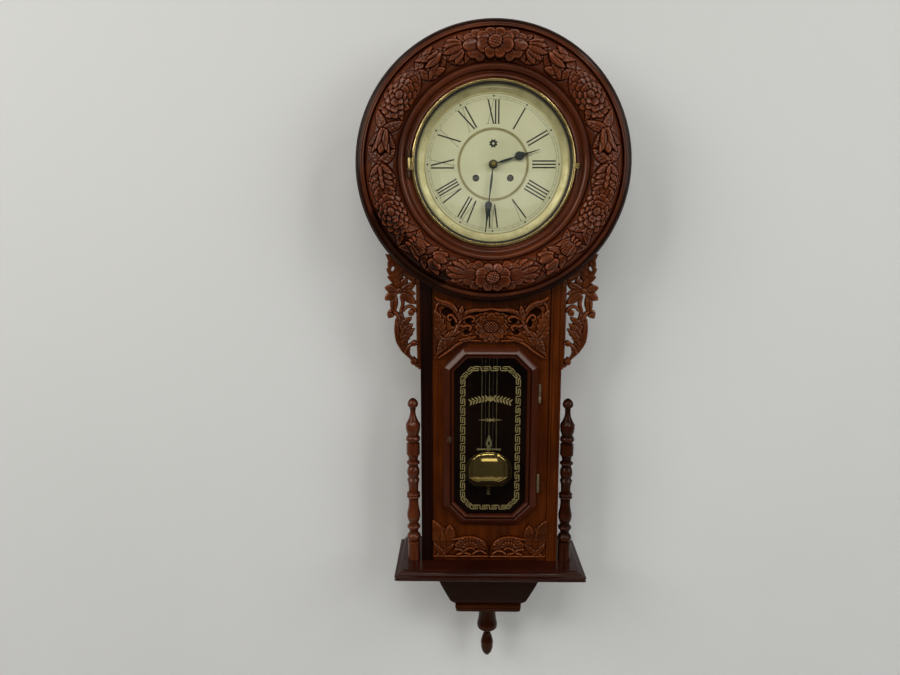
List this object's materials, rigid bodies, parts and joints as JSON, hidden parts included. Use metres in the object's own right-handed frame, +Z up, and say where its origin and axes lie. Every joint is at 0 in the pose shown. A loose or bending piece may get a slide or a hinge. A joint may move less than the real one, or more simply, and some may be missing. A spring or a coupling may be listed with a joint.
{
  "type": "banjo clock",
  "caption": "Wall clock with a carved round head, glazed brass bezel, octagonal trunk door, gridiron-style pendulum, side columns, shelf and drop finial.",
  "frame": {"origin": "back face of the backboard, behind the centre of the dial", "axes": "+X to the right of someone facing the clock, +Y into the wall, +Z up"},
  "size_m": [0.457, 0.15, 1.1575],
  "materials": {
    "mahogany": "carved and french polished, deep red-brown",
    "panel_mahogany": "polished, orange-brown",
    "dark_mahogany": "darkened, semi-matt",
    "inner_wood": "unpolished",
    "brass": "lacquered, slightly aged",
    "blued_steel": "dark grey",
    "dial_paint": "cream enamel paint, aged",
    "glass": "clear"
  },
  "bodies": {
    "case": {"backboard": "inner_wood", "hanger_plate": "blued_steel", "case_side_left": "panel_mahogany", "case_side_right": "panel_mahogany", "head_drum": "inner_wood", "trunk_panel": "panel_mahogany", "pilaster_left": "mahogany", "pilaster_right": "mahogany", "head_ring": "mahogany", "shelf": "mahogany", "console": "dark_mahogany", "console_lip": "panel_mahogany", "drop_finial": "dark_mahogany", "column_left": "mahogany", "column_right": "mahogany", "side_bracket_left": "mahogany", "side_bracket_right": "mahogany", "upper_carving": "mahogany", "lower_carving_left": "mahogany", "lower_carving_right": "mahogany", "door_hinge_upper": "brass", "door_hinge_lower": "brass", "bezel_hinge": "brass", "dial_plate": "dial_paint", "dial_centre_ring": "brass", "sight_ring": "brass", "movement_back_plate": "brass", "movement_front_plate": "brass", "movement_seat": "inner_wood", "suspension_cock": "brass", "gong_block": "inner_wood", "gong_coil": "blued_steel"},
    "door": {"door_frame": "panel_mahogany", "door_glass": "glass", "door_knob": "brass", "door_knuckle_upper": "brass", "door_knuckle_lower": "brass"},
    "bezel": {"bezel_ring": "brass", "bezel_glass": "glass"},
    "minute": {"centre_arbor": "brass", "minute_hand": "blued_steel", "hand_nut": "brass"},
    "hour": {"hour_wheel": "brass", "hour_hand": "blued_steel"},
    "minute_wheel": {"minute_wheel": "brass"},
    "third": {"third_wheel": "brass"},
    "escape": {"escape_wheel": "brass"},
    "time_barrel": {"time_barrel": "brass"},
    "time_winder": {"time_winding_arbor": "blued_steel"},
    "strike_barrel": {"strike_barrel": "brass"},
    "strike_winder": {"strike_winding_arbor": "blued_steel"},
    "strike_wheel": {"strike_wheel": "brass"},
    "hammer": {"hammer": "blued_steel"},
    "crutch": {"pallet_crutch": "blued_steel"},
    "pendulum": {"suspension_spring": "blued_steel", "pendulum_hanger": "blued_steel", "pendulum_grid": "brass", "pendulum_spire": "brass"},
    "bob": {"pendulum_bob": "brass", "rating_nut": "brass"}
  },
  "joints": [
    {"name": "door_swing", "type": "hinge", "parent": "case", "child": "door", "pos_m": [0.0862, -0.1008, -0.4715], "axis": [0, 0, 1], "range_deg": [0, 110]},
    {"name": "bezel_swing", "type": "hinge", "parent": "case", "child": "bezel", "pos_m": [-0.1385, -0.1215, 0], "axis": [0, 0, -1], "range_deg": [0, 100]},
    {"name": "minute_turn", "type": "hinge", "parent": "case", "child": "minute", "pos_m": [0, -0.094, 0], "axis": [0, 1, 0], "continuous": true},
    {"name": "hour_turn", "type": "hinge", "parent": "case", "child": "hour", "pos_m": [0, -0.1, 0], "axis": [0, 1, 0], "continuous": true},
    {"name": "minute_wheel_turn", "type": "hinge", "parent": "case", "child": "minute_wheel", "pos_m": [0.01697, -0.098, 0.01697], "axis": [0, 1, 0], "continuous": true},
    {"name": "third_turn", "type": "hinge", "parent": "case", "child": "third", "pos_m": [-0.014, -0.078, 0.02425], "axis": [0, 1, 0], "continuous": true},
    {"name": "escape_turn", "type": "hinge", "parent": "case", "child": "escape", "pos_m": [0, -0.078, 0.0407], "axis": [0, 1, 0], "continuous": true},
    {"name": "time_barrel_turn", "type": "hinge", "parent": "case", "child": "time_barrel", "pos_m": [0.0285, -0.08, -0.022], "axis": [0, 1, 0], "continuous": true},
    {"name": "time_winding_turn", "type": "hinge", "parent": "case", "child": "time_winder", "pos_m": [0.0285, -0.094, -0.022], "axis": [0, 1, 0], "continuous": true},
    {"name": "strike_barrel_turn", "type": "hinge", "parent": "case", "child": "strike_barrel", "pos_m": [-0.0285, -0.076, -0.022], "axis": [0, 1, 0], "continuous": true},
    {"name": "strike_winding_turn", "type": "hinge", "parent": "case", "child": "strike_winder", "pos_m": [-0.0285, -0.094, -0.022], "axis": [0, 1, 0], "continuous": true},
    {"name": "strike_wheel_turn", "type": "hinge", "parent": "case", "child": "strike_wheel", "pos_m": [-0.044, -0.08, 0.01049], "axis": [0, 1, 0], "continuous": true},
    {"name": "hammer_lift", "type": "hinge", "parent": "case", "child": "hammer", "pos_m": [-0.047, -0.058, 0.062], "axis": [0, 1, 0], "range_deg": [-15, 0], "stiffness_Nm_per_rad": 0.08},
    {"name": "crutch_swing", "type": "hinge", "parent": "case", "child": "crutch", "pos_m": [0, -0.0575, 0.0662], "axis": [0, 1, 0], "range_deg": [-3, 3]},
    {"name": "pendulum_swing", "type": "hinge", "parent": "case", "child": "pendulum", "pos_m": [0, -0.05, 0.0662], "axis": [0, 1, 0], "range_deg": [-3, 3]},
    {"name": "bob_slide", "type": "slide", "parent": "pendulum", "child": "bob", "axis": [0, 0, -1], "range_m": [-0.0015, 0.002]}
  ],
  "couplings": [
    {"joint": "hour_turn", "follows": "minute_turn", "ratio": 0.083333},
    {"joint": "minute_wheel_turn", "follows": "minute_turn", "ratio": -0.33333},
    {"joint": "third_turn", "follows": "minute_turn", "ratio": -6},
    {"joint": "escape_turn", "follows": "minute_turn", "ratio": 30},
    {"joint": "time_barrel_turn", "follows": "minute_turn", "ratio": -0.25},
    {"joint": "strike_wheel_turn", "follows": "strike_barrel_turn", "ratio": -4},
    {"joint": "crutch_swing", "follows": "pendulum_swing", "ratio": 1}
  ]
}
